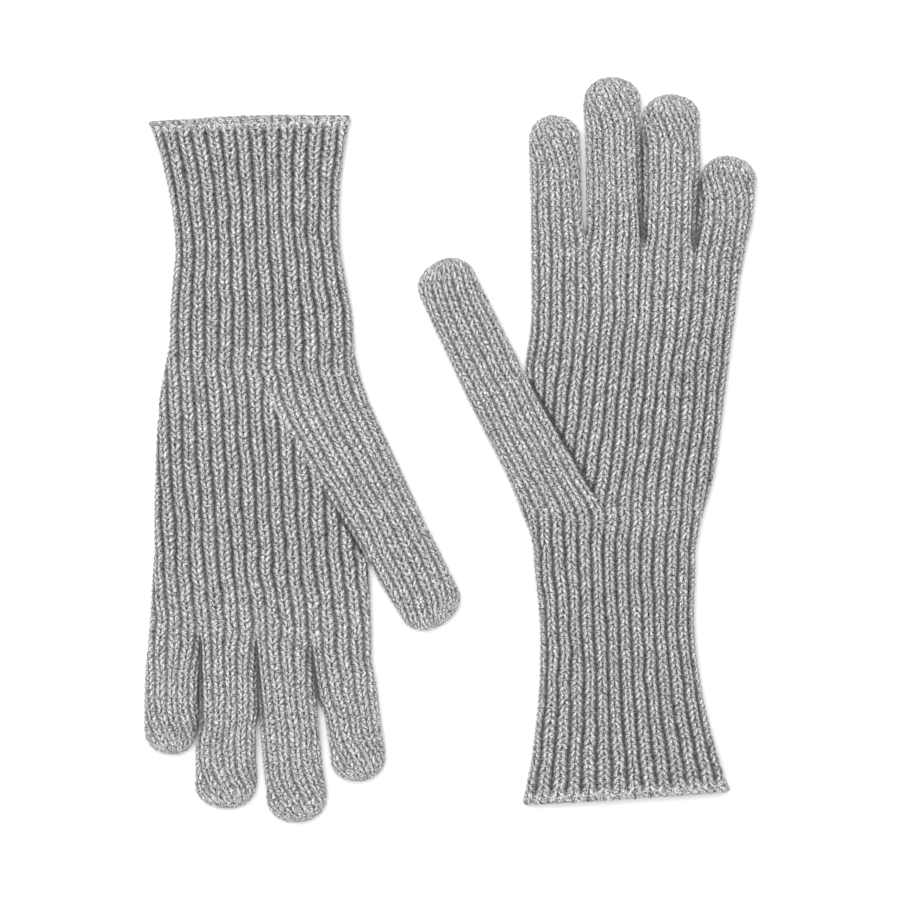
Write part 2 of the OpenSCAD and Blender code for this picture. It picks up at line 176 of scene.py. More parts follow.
# turn: -1 for a glove that lies with its fingers towards -Y. waist_at: where along the cuff its
# waist is. palm_widths: at the gusset's point, at MID_PALM and at the thumb's crotch. gusset_side
# and knuckle_drift: where across the glove the gusset's point and the middle of the knuckles lie.
# knuckle: from the wrist to the fold line, which is knuckle_slant askew. lengths, widths and
# slants: of the four fingers. thumb_edge: how far the heel's thumb side is moved out at the
# gusset's point. crease: how late the thumb parts from the palm. seam: from where to where along
# the crease the knit comes to be drawn in. mouth_tilt: how much nearer to the wrist the mouth's
# little finger side lies than its middle. mouth_gape: how far the mouth's bottom layer reaches past
# its top layer. rib_pitch and rib_lean: of the palm. slits: how far from the fold neighbouring
# fingers part. fill: how far each finger then fills out on its thumb's side and on its other side.
GLOVES = {
    "right": dict(
        turn=-1, cuff_length=0.0918, mouth_width=0.085, waist_width=0.069, wrist_width=0.077,
        waist_at=0.45, palm_widths=(0.082, 0.087, 0.091), gusset_side=0.002, knuckle=0.132,
        knuckle_slant=5, knuckle_drift=0.0005, lengths=(0.053, 0.072, 0.068, 0.0475),
        widths=(0.0242, 0.0226, 0.023, 0.021), slants=(7, 5.5, 0, -1.5),
        thumb_root=(-0.0575, 0.0885), thumb_slant=29, thumb_length=0.0328, thumb_width=0.0285,
        thumb_taper=0.90, thumb_edge=-0.0015, crease=3, seam=(0.45, 0.85), mouth_tilt=0.0012,
        mouth_gape=0.0022, rib_pitch=0.0058, rib_lean=-3.5, slits=(0.020, 0.030, 0.038),
        fill=((0.0008, -0.0021), (0.0004, 0.0014), (-0.0001, 0.0022), (-0.0013, 0.0010))),
    "left": dict(
        turn=1, cuff_length=0.1054, mouth_width=0.087, waist_width=0.0645, wrist_width=0.068,
        waist_at=0.30, palm_widths=(0.0725, 0.079, 0.084), gusset_side=-0.0045, knuckle=0.133,
        knuckle_slant=6, knuckle_drift=0.010, lengths=(0.047, 0.065, 0.0605, 0.037),
        widths=(0.0224, 0.0232, 0.0216, 0.0208), slants=(1.5, 1.5, 0.5, -7),
        thumb_root=(-0.0495, 0.068), thumb_slant=26, thumb_length=0.0535, thumb_width=0.026,
        thumb_taper=0.95, thumb_edge=0.0024, crease=1.2, seam=(0.0, 0.2), mouth_tilt=0.0028,
        mouth_gape=0.001, rib_pitch=0.0053, rib_lean=6, slits=(0.0, 0.044, 0.027),
        fill=((0.0002, -0.0013), (-0.0005, 0.0006), (-0.0004, 0.0026), (-0.0004, 0.0014))),
}


def mix(a, b, t):
    return a + (b - a) * t


def smooth(t):
    t = np.clip(t, 0, 1)
    return t * t * (3 - 2 * t)


def eased(t):
    """smooth() of one number."""
    return float(smooth(t))


def heading(slant):
    a = math.radians(slant)
    return np.array((-math.sin(a), math.cos(a)))


def across(slant):
    a = math.radians(slant)
    return np.array((math.cos(a), math.sin(a)))


# ---- Smooth noise of place, the same on every run ----
LATTICE_SIZE = 32
LATTICE = np.random.default_rng(7).random((4, LATTICE_SIZE, LATTICE_SIZE, LATTICE_SIZE)) * 2 - 1


def noise(points, size, layer=0):
    """Smooth noise from -1 to 1 at each point, with bumps about size metres apart."""
    p = points / size + 100.0
    low = np.floor(p).astype(int)
    f = p - low
    f = f * f * (3 - 2 * f)
    total = np.zeros(points.shape[:-1])
    for corner in range(8):
        pick = np.array([(corner >> axis) & 1 for axis in range(3)])
        at = (low + pick) % LATTICE_SIZE
        weight = np.prod(np.where(pick == 1, f, 1 - f), axis=-1)
        total += weight * LATTICE[layer, at[..., 0], at[..., 1], at[..., 2]]
    return total


def wander(points, layers):
    """The sum of some layers of noise, each an amount, a size and a layer of the lattice."""
    return sum(amount * noise(points, size, layer) for amount, size, layer in layers)


# ---- Rows: one row is a flattened loop across the glove, from its edge point p over the top to
# its edge point e and back below p ----
def row(p, e, course, count, height, closing=1.0, corners=(HAND_CORNER, HAND_CORNER), shift=0.0,
        relief=1.0, inset=0.0, rise=0.0, gape=0.0, gain=1.0, tilt=0.0, seam=0.0,
        pressed=(0.0, 0.0), crowned=None):
    """count is how many ribs lie between p and e on one face, and shift is taken from their
    number, which grows from e by gain. closing is 1 for a whole loop, and 0 for one that is open
    at p. corners say how round the sides at p and e are. inset is how deep the row lies inside
    the surface, and rise lifts it. tilt lifts the top at e and lowers it at p. gape carries the
    middle of the bottom layer towards -Y. seam draws the knit in at p, and pressed says how flat
    a neighbour presses the sides at p and e. crowned is the stretch of the hand's width whose
    roundness a row still has, and how much of it."""
    return dict(p=np.array(p, float), e=np.array(e, float), course=course, count=count,
                height=height, closing=closing, corners=corners, shift=shift, relief=relief,
                inset=inset, rise=rise, gape=gape, gain=gain, tilt=tilt, seam=seam,
                pressed=pressed, crowned=crowned)


def crown(stretch, along):
    """The share of its height that a row has left, along it from p (0) to e (1), to follow the
    roundness of the whole hand."""
    first_share, last_share, strength = stretch
    beside = np.abs(2 * mix(first_share, last_share, np.clip(along, 0, 1)) - 1)
    rounded = np.sqrt(np.clip(1 - beside ** (2 / HAND_CORNER), 0, 1)) ** HAND_CORNER
    return mix(1.0, rounded, strength)


def section_of(r, reach):
    """A row's loop seen along the glove: its points' distance u from p, and their height z."""
    first = math.pi / 2 * (1 - r["closing"])
    a = np.linspace(first, 2 * math.pi - first, LOOP_SAMPLES)
    c, s = np.cos(a), np.sin(a)
    power = np.where(c > 0, r["corners"][0], r["corners"][1])
    bend = math.cos(first) ** r["corners"][0] if r["closing"] > 0 else 0.0
    half = (reach - r["inset"] * (1 + bend)) / (1 + bend)
    u = r["inset"] * bend + half * (bend - np.sign(c) * np.abs(c) ** power)
    low, high = r["inset"] + r["rise"], r["height"] - r["inset"] + r["rise"]
    middle = (low + high) / 2
    z = middle + (high - low) / 2 * np.sign(s) * np.abs(s) ** power
    z *= 1 + r["tilt"] * (2 * u / reach - 1)
    if r["crowned"]:
        z = middle + (z - middle) * crown(r["crowned"], u / reach)
    return u, z


def loop_of(r):
    """The points of a row, its outward normals, and how far along the loop each point is."""
    reach = np.linalg.norm(r["e"] - r["p"])
    out = (r["e"] - r["p"]) / reach
    u, z = section_of(r, reach)
    tangent_u, tangent_z = np.gradient(u), np.gradient(z)
    size = np.hypot(tangent_u, tangent_z) + 1e-12
    points = np.stack([r["p"][0] + u * out[0], r["p"][1] + u * out[1], z], axis=1)
    normals = np.stack([-tangent_z * out[0], -tangent_z * out[1], tangent_u], axis=1)
    normals /= size[:, None]
    arc = np.concatenate([[0], np.cumsum(np.linalg.norm(np.diff(points, axis=0), axis=1))])
    return points, normals, arc


def grid_of(rows):
    """Every row sampled at the same rib steps. A row with fewer ribs ends early on its edge."""
    steps = math.ceil(max(r["count"] for r in rows) * RIB_STEPS - 1e-6)
    rib = np.arange(-steps, steps + 1) / RIB_STEPS
    shape = (len(rows), len(rib))
    points, normals = np.zeros(shape + (3,)), np.zeros(shape + (3,))
    phase, course, relief, beyond, seam, pressed = (np.zeros(shape) for _ in range(6))
    for j, r in enumerate(rows):
        loop, outward, arc = loop_of(r)
        at = np.clip(rib, -r["count"], r["count"])
        place = (at / r["count"] + 1) / 2 * arc[-1]
        for k in range(3):
            points[j, :, k] = np.interp(place, arc, loop[:, k])
            normals[j, :, k] = np.interp(place, arc, outward[:, k])
        below = np.clip(at, 0, None)
        points[j, :, 1] -= r["gape"] * below * (r["count"] - at) * 4 / r["count"] ** 2
        phase[j] = np.abs(at) * r["gain"] - r["shift"]
        course[j] = r["course"]
        relief[j] = r["relief"]
        beyond[j] = np.abs(rib) - r["count"]
        from_p, from_e = r["count"] - np.abs(at), np.abs(at)
        seam[j] = r["seam"] * np.exp(-(from_p / SEAM_RIBS) ** 2)
        pressed[j] = r["pressed"][0] * np.exp(-(from_p / PRESS_RIBS) ** 2)
        pressed[j] += r["pressed"][1] * np.exp(-(from_e / PRESS_RIBS) ** 2)
    normals /= np.linalg.norm(normals, axis=-1, keepdims=True) + 1e-12
    return dict(points=points, normals=normals, phase=phase, course=course, relief=relief,
                beyond=beyond, seam=seam, pressed=pressed)


def cells_to_skip(beyond):
    """Marks the grid's cells that lie past the end of their rows."""
    past = beyond >= -1e-9
    return past[:-1, 1:] & past[1:, 1:] & past[:-1, :-1] & past[1:, :-1]


def stitch_relief(grid):
    """How far each point sinks below the rib crests, with its rib's and its stitch's number."""
    at = grid["points"]
    phase = grid["phase"] + wander(at, PHASE_WANDER)
    course = grid["course"] + wander(at, COURSE_WANDER)
    side = phase - np.floor(phase) - 0.5
    flat, steep = CREST_POWERS
    crest = np.clip(1 - (np.abs(side) / 0.5) ** flat, 0, 1) ** steep
    leg = course + V_SLOPE * np.abs(side)
    strand = np.abs(np.sin(math.pi * leg)) ** STRAND_POWER
    notch = np.exp(-(side / NOTCH_WIDTH) ** 2)
    depth = RIB_DEPTH * grid["relief"] * (1 - crest)
    depth += STITCH_DEPTH * crest * (1 - strand) + NOTCH_DEPTH * notch
    return depth, phase, course


def turned_normals(normals, turns, ahead):
    """The normals turned towards a direction in the plane, by one angle for each row."""
    kept = normals * np.cos(turns)[:, None, None]
    return kept + np.sin(turns)[:, None, None] * np.append(ahead, 0.0)


def mesh_of(name, points, skip=None, flip=False, **attributes):
    """A woollen mesh from a grid of points, without the cells that skip marks."""
    count_j, count_k = points.shape[:2]
    index = np.arange(count_j * count_k).reshape(count_j, count_k)
    quads = np.stack([index[:-1, :-1], index[:-1, 1:], index[1:, 1:], index[1:, :-1]], axis=-1)
    if skip is not None:
        quads = quads[~skip]
    quads = quads.reshape(-1, 4)
    if flip:
        quads = quads[:, ::-1]
    mesh = bpy.data.meshes.new(name)
    mesh.from_pydata(points.reshape(-1, 3).tolist(), [], quads.tolist())
    for key, values in attributes.items():
        flat = np.ascontiguousarray(values, dtype=np.float32).reshape(-1)
        mesh.attributes.new(key, "FLOAT", "POINT").data.foreach_set("value", flat)
    mesh.shade_smooth()
    mesh.materials.append(wool())
    obj = bpy.data.objects.new(name, mesh)
    bpy.context.scene.collection.objects.link(obj)
    return weld(obj)


def weld(obj, distance=2e-6):
    """Joins the points that meet where a loop closes or a rib ends, and drops what is left over."""
    work = bmesh.new()
    work.from_mesh(obj.data)
    bmesh.ops.remove_doubles(work, verts=work.verts, dist=distance)
    loose = [v for v in work.verts if not v.link_faces]
    bmesh.ops.delete(work, geom=loose, context="VERTS")
    work.to_mesh(obj.data)
    work.free()
    return obj


def join(first, *others):
    """Joins the other objects into the first one."""
    picked = [first, *others]
    with bpy.context.temp_override(active_object=first, selected_editable_objects=picked):
        bpy.ops.object.join()
    return first


def in_frame(side, points):
    """Moves points from a glove's own frame to the shared frame."""
    turn = GLOVES[side]["turn"]
    moved = points * np.array((turn, turn, 1.0))
    moved[..., 0] += WRISTS[side][0]
    moved[..., 1] += WRISTS[side][1]
    return moved


def sweep(g, points):
    """Lays the ribs over towards the thumb round the gusset's point, so that they bend softly."""
    from_point = np.abs(points[..., 1] - GUSSET_POINT)
    near = np.clip(1 - from_point / WRIST_SWEEP, 0, 1) ** 2
    thumb_side = smooth((g["gusset_side"] + SWEEP_START - points[..., 0]) / SWEEP_WIDTH)
    points[..., 0] -= WRIST_LEAN * near * thumb_side


def knit(side, name, rows, flip=False, lead=None):
    """One knitted piece from its rows. lead turns the normals of a closing tip forward."""
    grid = grid_of(rows)
    points, normals = grid["points"], grid["normals"]
    sweep(GLOVES[side], points)
    if lead is not None:
        normals = turned_normals(normals, *lead)
    depth, phase, course = stitch_relief(grid)
    puff = FULLNESS + wander(points, PUFF_WANDER)
    puff = mix(UNDERSIDE_FULLNESS, puff, smooth(points[..., 2] / UNDERSIDE_HEIGHT))
    out = mix(puff - depth, PRESSED_OUT, grid["pressed"])
    out = mix(out, -SEAM_DEPTH, grid["seam"])
    # Painted shade: the knit is darkened by how deep it lies in its ribs and stitches and along the
    # crease's seam, and in the valley between two pressed fingers.
    depth += SEAM_DEPTH * grid["seam"]
    groove = depth / (RIB_DEPTH + STITCH_DEPTH) + PRESSED_PAINTED_SHADE * grid["pressed"]
    return mesh_of(f"{side}_{name}", in_frame(side, points + normals * out[..., None]),
                   cells_to_skip(grid["beyond"]), flip, groove=groove, phase=phase, course=course)


# ---- Shapes of one glove ----
def cuff_width(g, t):
    """The width of the cuff, with t from 0 at the wrist to 1 at the mouth."""
    waist_at = g["waist_at"]
    if t < waist_at:
        return mix(g["wrist_width"], g["waist_width"], (1 - math.cos(math.pi * t / waist_at)) / 2)
    return mix(g["waist_width"], g["mouth_width"], ((t - waist_at) / (1 - waist_at)) ** FLARE_POWER)


def cuff_row(g, t, inset=0.0):
    length, half = g["cuff_length"], cuff_width(g, t) / 2
    x, y = CUFF_DRIFT * max(t, 0) ** DRIFT_POWER, -length * t
    tilt = g["mouth_tilt"] * eased((t - TILT_FROM) / (1 - TILT_FROM))
    from_edge = (1 - t) * length - EDGE_LENGTH
    return row((x - half, y - tilt), (x + half, y + tilt), y / COURSE, CUFF_RIBS,
               mix(HAND_HEIGHT, CUFF_HEIGHT, t), inset=inset,
               relief=mix(EDGE_RELIEF, 1.0, eased(from_edge / EDGE_FADE)),
               gape=g["mouth_gape"] * eased((t - GAPE_FROM) / (1 - GAPE_FROM)))


def reach_beside(g, i):
    """Half the width of finger i, measured across the glove where it meets the fold line."""
    slant = math.radians(g["slants"][i] + g["knuckle_slant"])
    return g["widths"][i] / 2 * math.cos(math.radians(g["knuckle_slant"])) / math.cos(slant)


def knuckle_half(g):
    return sum(reach_beside(g, i) for i in range(4)) + 1.5 * FINGER_GAP


def finger_side(g, i):
    """Where across the glove the middle of finger i lies at its fold."""
    before = sum(2 * reach_beside(g, k) + FINGER_GAP for k in range(i))
    return g["knuckle_drift"] - knuckle_half(g) + before + reach_beside(g, i)


def fold_at(g, x):
    return np.array((x, g["knuckle"] - math.tan(math.radians(g["knuckle_slant"])) * x))


def finger_of(g, i):
    half = g["widths"][i] / 2
    return dict(root=fold_at(g, finger_side(g, i)), slant=g["slants"][i],
                fold=-g["knuckle_slant"], length=g["lengths"][i], half=half, end=half)


def thumb_of(g):
    slant, half = g["thumb_slant"], g["thumb_width"] / 2
    root = np.array(g["thumb_root"]) + THUMB_FOLD_AHEAD * heading(slant)
    return dict(root=root, slant=slant, fold=slant, length=g["thumb_length"], half=half,
                end=half * g["thumb_taper"])


def crotch_of(g):
    return np.array(g["thumb_root"]) + g["thumb_width"] / 2 * across(g["thumb_slant"])


def thumb_outer(g):
    return np.array(g["thumb_root"]) - g["thumb_width"] / 2 * across(g["thumb_slant"])


def point_of(g):
    return np.array((g["gusset_side"], GUSSET_POINT))


def hand_width(g, y):
    """The width changes smoothly from place to place up the hand."""
    places = [0, GUSSET_POINT, MID_PALM, crotch_of(g)[1], g["knuckle"]]
    widths = [g["wrist_width"], *g["palm_widths"], 2 * knuckle_half(g)]
    near = y + np.linspace(-WIDTH_BLUR, WIDTH_BLUR, 7) * eased(y / (2 * WIDTH_BLUR))
    return float(np.mean(np.interp(near, places, widths)))


def hand_middle(g, y):
    return g["knuckle_drift"] * y / g["knuckle"]


def hand_height(g, y):
    return mix(HAND_HEIGHT, DIGIT_HEIGHT, (y / g["knuckle"]) ** 2)


def little_side(g, y):
    """Where across the glove the hand's edge on the little finger's side lies."""
    return hand_middle(g, y) + hand_width(g, y) / 2


def side_ribs(g, y):
    """Ribs that have come in along the little finger's side by the time the knit is at y, so
    that the others run straight and only lean a little."""
    y = max(y, 0)
    side = little_side(g, y) - hand_width(g, 0) / 2
    return (side - y * math.tan(math.radians(g["rib_lean"]))) / g["rib_pitch"]


def seam_at(g, t):
    start, end = g["seam"]
    return eased((t - start) / (end - start))


def lap_at(g, t):
    """How far the palm and the gusset reach past the line between them, t along it."""
    return CREASE_LAP * max(t ** g["crease"], seam_at(g, t), LEAST_LAP * eased(t / LAP_START))


def course_rows(length):
    """How many mesh rows a stretch of knitting needs."""
    return max(2, round(length / COURSE * COURSE_STEPS))


def face_length(r):
    return loop_of(r)[2][-1] / 2


def ribs_to(r, share):
    """Ribs from e to the point of a row's top that lies that share of the way from p to e."""
    loop, _, arc = loop_of(r)
    top = len(arc) // 2
    gone = np.linalg.norm(loop[:top, :2] - r["p"], axis=1) / np.linalg.norm(r["e"] - r["p"])
    return r["count"] * (1 - 2 * np.interp(share, gone, arc[:top]) / arc[-1])


# ---- The cuff and its edge ----
def make_cuff(side, g):
    """The cuff, from inside its edge to a little beyond the wrist, and the lining inside it."""
    length = g["cuff_length"]
    start = 1 - EDGE_SHOWN * EDGE_LENGTH / length
    n = course_rows(start * length)
    along = [start * (1 - j / n) for j in range(n)]
    rows = [cuff_row(g, start + TUCK / 2 / length, inset=TUCK)]
    rows += [cuff_row(g, t) for t in along]
    rows += heel_rows(g, 0.0, BEND_REACH)
    cuff = knit(side, "cuff", rows)
    return cuff, make_lining(side, [cuff_row(g, t, inset=FABRIC) for t in along[::2]])


def make_lining(side, rows):
    """The purl side of the fabric, seen through the mouth of a cuff."""
    grid = grid_of(rows)
    phase, course = grid["phase"], grid["course"]
    depth = LINING_RIB_DEPTH * (0.5 + 0.5 * np.cos(2 * math.pi * phase))
    depth += LINING_COURSE_DEPTH * (0.5 + 0.5 * np.cos(2 * math.pi * course))
    # Painted shade: the lining is darker where its ribs and courses sink in.
    groove = mix(*LINING_PAINTED_SHADE, depth / (LINING_RIB_DEPTH + LINING_COURSE_DEPTH))
    points = grid["points"] + grid["normals"] * depth[..., None]
    return mesh_of(f"{side}_cuff_lining", in_frame(side, points), flip=True, groove=groove,
                   phase=phase, course=course)


def edge_row(g, a):
    """One row of the edge's bead, at the angle a round it."""
    from_wrist = g["cuff_length"] - EDGE_LENGTH / 2 + EDGE_LENGTH / 2 * math.sin(a)
    inset = FABRIC / 2 - (FABRIC / 2 + EDGE_PROUD) * math.cos(a)
    return dict(cuff_row(g, from_wrist / g["cuff_length"], inset=inset), rise=EDGE_PROUD)


def make_edge(side, g):
    """The cast-on edge: a bead of small slanting loops round the mouth, two for each rib."""
    turns = np.linspace(0, 2 * math.pi, EDGE_STEPS)
    grid = grid_of([edge_row(g, a) for a in turns])
    loops = 2 * grid["phase"] + (turns / math.pi)[:, None]
    depth = EDGE_LOOP_DEPTH * (1 - np.abs(np.sin(math.pi * loops)) ** EDGE_LOOP_POWER)
    depth += wander(grid["points"], EDGE_WANDER)
    normals = turned_normals(grid["normals"], turns, heading(180))
    points = grid["points"] - normals * depth[..., None]
    # The edge's loops get painted shade, darker where they sink in.
    return mesh_of(f"{side}_cast_on_edge", in_frame(side, points), flip=True,
                   groove=mix(*EDGE_PAINTED_SHADE, depth / EDGE_LOOP_DEPTH),
                   phase=grid["phase"], course=loops)


# ---- The hand: its heel goes on from the cuff, and its palm from the heel to the knuckles ----
def heel_row(g, y):
    grown = eased(y / GUSSET_POINT)
    moved_out = g["thumb_edge"] * min(max(y / GUSSET_POINT, 0), 1)
    thumb_side = hand_middle(g, y) - hand_width(g, y) / 2 - moved_out
    return row((thumb_side, y), (little_side(g, y), y), y / COURSE,
               mix(CUFF_RIBS, HEEL_RIBS, grown), HAND_HEIGHT,
               relief=mix(1.0, HEEL_RELIEF, grown), shift=side_ribs(g, y))


def heel_rows(g, y0, y1):
    n = course_rows(y1 - y0)
    return [heel_row(g, mix(y0, y1, j / n)) for j in range(n + 1)]


def rib_of_point(g):
    """How many ribs lie between the little finger's side and the gusset's point."""
    loop, _, arc = loop_of(heel_row(g, GUSSET_POINT))
    top = len(arc) // 2
    at = np.interp(g["gusset_side"], loop[:top, 0], arc[:top])
    return HEEL_RIBS * (1 - 2 * at / arc[-1])


def palm_start(g):
    """The palm's side of the heel's last row, from the gusset's point."""
    return row(point_of(g), (little_side(g, GUSSET_POINT), GUSSET_POINT), 0, 1, HAND_HEIGHT,
               closing=0.0)


def palm_row(g, t):
    """t runs from 0 at the gusset's point to 1 at the thumb's crotch."""
    closing = t ** g["crease"]
    p = mix(point_of(g), crotch_of(g), t) - np.array((lap_at(g, t), 0))
    y = p[1]
    made = row(p, (little_side(g, y), y), y / COURSE, 1, hand_height(g, y), closing=closing,
               relief=mix(HEEL_RELIEF, 1.0, eased(t / RELIEF_START)), shift=side_ribs(g, y),
               seam=seam_at(g, t), corners=(mix(HAND_CORNER, CREASE_CORNER, closing), HAND_CORNER))
    first_pitch = face_length(palm_start(g)) / rib_of_point(g)
    pitch = mix(first_pitch, g["rib_pitch"], eased(t / PITCH_START))
    made["count"] = face_length(made) / pitch
    return made


def knuckle_row(g, t):
    """Beyond the crotch t runs on to 1 at the line where the fingers start."""
    slope = math.tan(math.radians(g["knuckle_slant"] * t))
    crotch = crotch_of(g)
    y = mix(crotch[1], g["knuckle"] - BEND_REACH, t)
    lap = CREASE_LAP * (1 - eased(t / LAP_END))
    settled = eased(t / CORNER_END)
    p_x = mix(crotch[0], g["knuckle_drift"] - knuckle_half(g), settled) - lap
    e_x = little_side(g, y)
    made = row((p_x, y - slope * p_x), (e_x, y - slope * e_x), y / COURSE, 1, hand_height(g, y),
               shift=side_ribs(g, y), relief=mix(1.0, KNUCKLE_RELIEF, t),
               seam=1 - eased(t / SEAM_END),
               corners=(mix(CREASE_CORNER, HAND_CORNER, settled), HAND_CORNER))
    made["count"] = face_length(palm_row(g, 1.0)) / g["rib_pitch"]
    return made


def make_hand(side, g):
    heel = heel_rows(g, BEND_REACH, GUSSET_POINT)
    heel.append(dict(heel_row(g, GUSSET_POINT + TUCK), inset=TUCK / 2))
    n = course_rows(crotch_of(g)[1] - GUSSET_POINT)
    m = course_rows(g["knuckle"] - BEND_REACH - crotch_of(g)[1])
    palm = [palm_row(g, j / n) for j in range(n + 1)]
    palm += [knuckle_row(g, j / m) for j in range(1, m + 1)]
    heel_piece = knit(side, "heel", heel)
    return join(knit(side, "hand", palm), heel_piece)


def gusset_row(g, t):
    """t runs from 0 at the gusset's point to 1 at the thumb's root."""
    low = heel_row(g, GUSSET_POINT)["p"]
    closing = t ** g["crease"]
    p = mix(point_of(g), crotch_of(g), t) + lap_at(g, t) * across(g["thumb_slant"])
    e = mix(low, thumb_outer(g), t)
    length = np.linalg.norm(mix(point_of(g), low, 0.5) - np.array(g["thumb_root"]))
    widened = eased(t / GUSSET_START)
    return row(p, e, GUSSET_POINT / COURSE + t * length / COURSE,
               mix(HEEL_RIBS - rib_of_point(g), GUSSET_RIBS, widened), hand_height(g, p[1]),
               shift=-side_ribs(g, GUSSET_POINT), closing=closing, seam=seam_at(g, t),
               relief=mix(HEEL_RELIEF, GUSSET_RELIEF, widened),
               corners=(mix(HAND_CORNER, CREASE_CORNER, closing), HAND_CORNER))


def make_gusset(side, g):
    n = course_rows(np.linalg.norm(crotch_of(g) - point_of(g)))
    return knit(side, "thumb_gusset", [gusset_row(g, j / n) for j in range(n + 1)], flip=True)


def yarn_ring(centre, half_width, half_height, turn):
    """Points of one closed loop of yarn standing across a crotch, with the angles along the loop
    and round the yarn."""
    a = np.linspace(0, 2 * math.pi, CROTCH_STEPS[0])[:, None]
    b = np.linspace(0, 2 * math.pi, CROTCH_STEPS[1])[None, :]
    thickness = CROTCH_YARN / 2
    out_u = (half_width + thickness * np.cos(b)) * np.cos(a)
    out_z = (half_height + thickness * np.cos(b)) * np.sin(a)
    along = thickness * np.sin(b) + 0 * a
    direction, side = heading(turn), across(turn)
    x = centre[0] + out_u * side[0] + along * direction[0]
    y = centre[1] + out_u * side[1] + along * direction[1]
    return np.stack([x, y, DIGIT_HEIGHT / 2 + out_z], axis=-1), a, b


def make_crotch(side, g, name, at, turn):
    """Three closing stitches side by side, tying the back of the hand to its palm."""
    strands = []
    for k in (-1, 0, 1):
        centre = at + k * CROTCH_SPACING * CROTCH_YARN * heading(turn)
        half_height = DIGIT_HEIGHT / 2 - CROTCH_COVER - CROTCH_LOWER * abs(k)
        points, a, b = yarn_ring(centre, CROTCH_HALF_WIDTH - CROTCH_NARROWER * abs(k),
                                 half_height, turn)
        # Painted shade in a band that winds round each strand.
        strands.append(mesh_of(f"{side}_{name}", in_frame(side, points),
                               groove=0.35 + 0.2 * np.cos(3 * a + b),
                               phase=b / math.pi + 0 * a, course=a / math.pi + b / math.pi))
    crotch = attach(join(*strands), f"{side}_hand")
    stands_for(f"{side}_{name}")


# ---- Fingers and thumb ----
def digit_row(d, s, count, course, shift, relief, corners, turned):
    """One row of a finger or thumb, s along it from its fold."""
    middle = d["root"] + s * heading(d["slant"])
    half = mix(d["half"], d["end"], max(0, s) / d["length"])
    side = half / math.cos(math.radians(turned - d["slant"])) * across(turned)
    return row(middle - side, middle + side, course, count, DIGIT_HEIGHT, corners=corners,
               shift=shift, relief=relief)


def lip_row(first, d):
    """A row sunk inside the hand, which a finger or thumb is carried on from."""
    back = LIP * heading(d["fold"])
    return dict(first, p=first["p"] - back, e=first["e"] - back,
                course=first["course"] - LIP / COURSE, inset=LIP_DEPTH)


def swirl(from_end):
    """Ribs that the stitches have drifted, this far from the end of a digit."""
    return TIP_SWIRL * max(1 - from_end / SWIRL_REACH, 0) ** 2


def fold_boundary(g, k):
    """Share of the knuckle line to the thumb's side of finger k."""
    if k in (0, 4):
        return k / 4
    x = finger_side(g, k) - reach_beside(g, k) - FINGER_GAP / 2
    return (x - g["knuckle_drift"] + knuckle_half(g)) / (2 * knuckle_half(g))


def parted(g, k, s):
    """How far finger k - 1 has parted from finger k, from 0 to 1, s from the fold."""
    if k in (0, 4):
        return 1.0
    return eased((s - g["slits"][k - 1]) / PART_LENGTH + 0.5)


def filled(g, i, side, s):
    """How far finger i fills out on its thumb's side (0) or other side (1), s from its fold: up
    to its neighbour before they part, and then as far as the finger is full."""
    k = i + side
    if k in (0, 4):
        return g["fill"][i][side] * eased(s / TURN_LENGTH)
    spread = math.radians(g["slants"][k - 1] - g["slants"][k])
    before = max(s, 0) * spread / 2
    return mix(before, g["fill"][i][side], parted(g, k, s))


def finger_base(g, i):
    """Finger i's share of the hand's last row, where its ends lie, and the ribs on it."""
    last = knuckle_row(g, 1.0)
    share = [fold_boundary(g, k) for k in (i, i + 1)]
    ends = [mix(last["p"], last["e"], f) for f in share]
    return dict(last=last, share=share, ends=ends, pitch=face_length(last) / last["count"],
                middle_rib=ribs_to(last, sum(share) / 2) - last["shift"])


def finger_corners(i, freed):
    """Sides towards a neighbour round off more than the hand's own two edges."""
    inner = mix(JOINED_CORNER, FREE_CORNER, freed)
    outer = mix(JOINED_CORNER, HAND_CORNER, freed)
    return (outer if i == 0 else inner, outer if i == 3 else inner)


def finger_row(g, i, d, base, s):
    """One row of finger i, s along it from its fold."""
    last, from_hand = base["last"], s + BEND_REACH
    freed = eased(from_hand / FREED_LENGTH)
    turned = mix(d["fold"], d["slant"], eased(s / TURN_LENGTH))
    relief = mix(KNUCKLE_RELIEF, FINGER_RELIEF, eased(s / RELIEF_LENGTH))
    made = digit_row(d, max(s, 0.0), FINGER_RIBS, last["course"] + from_hand / COURSE, 0, relief,
                     finger_corners(i, freed), turned)
    if s < 0:
        made["p"] = mix(base["ends"][0], made["p"], from_hand / BEND_REACH)
        made["e"] = mix(base["ends"][1], made["e"], from_hand / BEND_REACH)
    made["p"] = made["p"] - filled(g, i, 0, s) * across(turned)
    made["e"] = made["e"] + filled(g, i, 1, s) * across(turned)
    made["height"] = mix(last["height"], DIGIT_HEIGHT, eased(from_hand / BEND_REACH))
    made["tilt"] = FINGER_TILT * freed
    made["crowned"] = (*base["share"], 1 - freed)
    made["pressed"] = [freed * (1 - parted(g, i + k, s)) for k in (0, 1)]
    pitch = face_length(made) / FINGER_RIBS
    made["gain"] = mix(pitch / base["pitch"], 1.0, eased(from_hand / GAIN_REACH))
    made["shift"] = ribs_to(made, 0.5) * made["gain"] - base["middle_rib"]
    made["shift"] += swirl(d["length"] - s)
    return made


